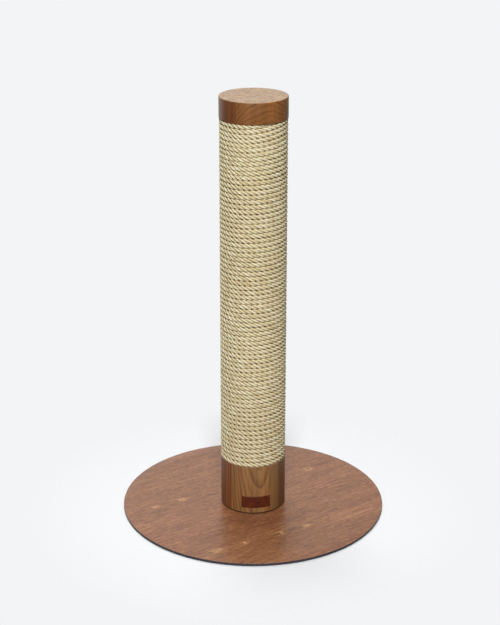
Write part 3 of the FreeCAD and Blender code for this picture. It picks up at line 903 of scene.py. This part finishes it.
def leather_material():
    """Dark red-brown leather with a fine pebbled grain."""
    n = Nodes("label_leather")
    place = n.place()
    pebble = n.add("TexVoronoi", feature="SMOOTH_F1")
    n.feed(pebble.inputs["Vector"], place)
    n.feed(pebble.inputs["Scale"], 1500.0)
    cloud = n.noise(place, (140, 140, 140), detail=3.0)
    colour = n.ramp(cloud, [(0.3, srgb(66, 24, 7)), (0.55, srgb(84, 34, 11)), (0.75, srgb(100, 43, 16))])
    n.set("Base Color", colour)
    n.set("Roughness", 0.55)
    n.set("Specular IOR Level", 0.25)
    n.bump(pebble.outputs["Distance"], 0.00012, 0.5)
    return n.material


def edge_stops(half, steps):
    """Places across half a width on both sides of its middle, closer near the edges."""
    inner = [half * (2 * i / steps - 1) for i in range(1, steps)]
    near = [0, LABEL_EDGE * 0.15, LABEL_EDGE * 0.5, LABEL_EDGE]
    low = [-half + d for d in near]
    high = [half - d for d in reversed(near)]
    return low + [v for v in inner if abs(v) < half - LABEL_EDGE] + high


def build_label():
    """The patch bent round the foot: a face with a softened edge, its rim and its back."""
    low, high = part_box("label")
    half_height = (high.z - low.z) / 2
    middle = (high.z + low.z) / 2
    ups = edge_stops(half_height, LABEL_ROWS)
    shares = [v / (LABEL_ARC / 2) for v in edge_stops(LABEL_ARC / 2, LABEL_COLUMNS)]
    vertices, faces = [], []

    def bent(across, up, rise):
        """The place of a point of the flat patch once it is bent round the foot."""
        angle = across / FOOT_RADIUS + LABEL_BEARING
        out = FOOT_RADIUS + rise
        return (out * math.sin(angle), -out * math.cos(angle), middle + up)

    def half_width(up):
        """Half the patch's width at a height, less near its rounded corners."""
        past = max(abs(up) - (half_height - LABEL_CORNER), 0)
        return LABEL_ARC / 2 - (LABEL_CORNER - math.sqrt(max(LABEL_CORNER**2 - past**2, 0)))

    for layer in ("front", "back"):
        for up in ups:
            for share in shares:
                across = share * half_width(up)
                inside = min(half_width(up) - abs(across), half_height - abs(up), LABEL_EDGE)
                soft = LABEL_EDGE - math.sqrt(max(LABEL_EDGE**2 - (LABEL_EDGE - inside)**2, 0))
                rise = LABEL_THICKNESS - soft if layer == "front" else 0
                vertices.append(bent(across, up, rise))
    rows, columns = len(ups), len(shares)
    back = rows * columns
    for i in range(rows - 1):
        for j in range(columns - 1):
            k = i * columns + j
            faces.append((k, k + 1, k + columns + 1, k + columns))
            faces.append((back + k, back + k + columns, back + k + columns + 1, back + k + 1))
    rim = list(range(columns))
    rim += [i * columns + columns - 1 for i in range(1, rows)]
    rim += [(rows - 1) * columns + j for j in range(columns - 2, -1, -1)]
    rim += [i * columns for i in range(rows - 2, 0, -1)]
    for first, second in zip(rim, rim[1:] + rim[:1]):
        faces.append((first, back + first, back + second, second))
    add_mesh("label_patch", vertices, faces, "label", leather_material())


# ---------------------------------------------------------------- stage, light and camera

BACKGROUND = srgb(243, 244, 246)
FLOOR_COLOUR = srgb(226, 227, 229)
FLOOR_REACH = 4.0
FLOOR_DROP = 0.0002
# how far from the middle the floor starts to fade into the backdrop, and where it is gone
FADE_START = 0.265
FADE_END = 0.45


def floor_material():
    """Pale paper near the object, which fades into the backdrop."""
    n = Nodes("floor_paper")
    n.set("Base Color", FLOOR_COLOUR)
    n.set("Roughness", 0.9)
    n.set("Specular IOR Level", 0.0)
    far = n.vector("LENGTH", n.vector("MULTIPLY", n.place(), (1, 1, 0)))
    clear = n.add("BsdfTransparent")
    mixed = n.add("MixShader")
    n.feed(mixed.inputs[0], n.spread(far, FADE_START, FADE_END))
    n.feed(mixed.inputs[1], n.shader.outputs[0])
    n.feed(mixed.inputs[2], clear.outputs[0])
    n.feed(n.tree.nodes["Material Output"].inputs["Surface"], mixed.outputs[0])
    return n.material


def build_stage():
    mesh = bpy.data.meshes.new("floor")
    corners = [(-1, -1), (1, -1), (1, 1), (-1, 1)]
    mesh.from_pydata([(x * FLOOR_REACH, y * FLOOR_REACH, 0) for x, y in corners], [], [(0, 1, 2, 3)])
    floor = bpy.data.objects.new("floor", mesh)
    floor.location.z = -FLOOR_DROP
    bpy.context.collection.objects.link(floor)
    mesh.materials.append(floor_material())


# how bright the studio is all round, and what shines on the object from it: dim on the
# camera's side and bright behind, less so overhead, and brighter to the left than the right
AMBIENT = 0.13
FRONT_MIRRORED = 0.16
BACK_MIRRORED = 1.0
OVERHEAD_SHARE = 0.8
LEFT_SHARE = 1.25
RIGHT_SHARE = 0.8
# the bright part behind is turned a little to the left
BACK_TURN = -0.16


def build_world():
    """A white studio: the camera sees the pale backdrop, soft light comes from all round, and
    what shines on the object is bright behind it and dimmer on the camera's side."""
    world = bpy.data.worlds.new("studio")
    bpy.context.scene.world = world
    world.use_nodes = True
    w = Tree(world.node_tree)
    x, y, z = w.split(w.add("TexCoord").outputs["Generated"])
    backward = w.math("MULTIPLY_ADD", x, BACK_TURN, y)
    behind = w.spread(backward, 0.59, 0.77, FRONT_MIRRORED, BACK_MIRRORED, "SMOOTHSTEP")
    overhead = w.spread(z, 0.42, 0.52, 1.0, OVERHEAD_SHARE, "SMOOTHSTEP")
    sideways = w.spread(x, -0.18, 0.18, LEFT_SHARE, RIGHT_SHARE, "SMOOTHSTEP")
    mirrored = w.math("MULTIPLY", w.math("MULTIPLY", behind, overhead), sideways)
    path = w.add("LightPath").outputs
    soft = w.mix(path["Is Glossy Ray"], (AMBIENT, AMBIENT, AMBIENT, 1), mirrored)
    seen = w.math("MAXIMUM", path["Is Camera Ray"], path["Is Transmission Ray"])
    w.feed(w.tree.nodes["Background"].inputs["Color"], w.mix(seen, soft, BACKGROUND))


def area_light(name, place, target, size, watts):
    """A softbox at a place, turned to its target."""
    data = bpy.data.lights.new(name, "AREA")
    data.shape = "RECTANGLE"
    data.size, data.size_y = size
    data.energy = watts
    light = bpy.data.objects.new(name, data)
    light.location = place
    direction = Vector(target) - Vector(place)
    light.rotation_euler = direction.to_track_quat("-Z", "Y").to_euler()
    bpy.context.collection.objects.link(light)


def build_lights():
    area_light("top_softbox", (0, 0.2, 4.4), (0, 0, 0), (2.6, 2.6), 42)
    area_light("back_softbox", (-0.5, 1.7, 4.0), (0, 0, 0), (1.6, 1.2), 72)
    area_light("key_softbox", (0.05, -6.6, 5.32), (0, 0, 0.45), (2.25, 2.25), 670)


# the camera stands straight in front, looks down by its elevation at a point on the post's
# axis, and is then turned aside by its yaw and rolled
CAMERA_DISTANCE = 2.8789
CAMERA_ELEVATION = math.radians(20.725)
CAMERA_AIM_HEIGHT = 0.39257
CAMERA_YAW = -0.00213
CAMERA_ROLL = 0.00143
CAMERA_LENS = 89.41


def build_camera():
    data = bpy.data.cameras.new("camera")
    data.sensor_width = 36
    data.lens = CAMERA_LENS
    camera = bpy.data.objects.new("camera", data)
    back = Vector((0, -math.cos(CAMERA_ELEVATION), math.sin(CAMERA_ELEVATION)))
    forward = -back
    right = Vector((1, 0, 0))
    up = right.cross(forward)
    aimed = forward * math.cos(CAMERA_YAW) + right * math.sin(CAMERA_YAW)
    side = right * math.cos(CAMERA_YAW) - forward * math.sin(CAMERA_YAW)
    turned_side = side * math.cos(CAMERA_ROLL) + up * math.sin(CAMERA_ROLL)
    turned_up = up * math.cos(CAMERA_ROLL) - side * math.sin(CAMERA_ROLL)
    place = Vector((0, 0, CAMERA_AIM_HEIGHT)) + back * CAMERA_DISTANCE
    matrix = Matrix((turned_side, turned_up, -aimed)).transposed().to_4x4()
    matrix.translation = place
    camera.matrix_world = matrix
    bpy.context.collection.objects.link(camera)
    bpy.context.scene.camera = camera


build_camera()
build_base()
build_foot()
build_label()
build_rope()
build_fibres()
build_cap()
dress_carried_nodes()
build_stage()
build_world()
build_lights()
bpy.context.scene.view_settings.view_transform = "Standard"
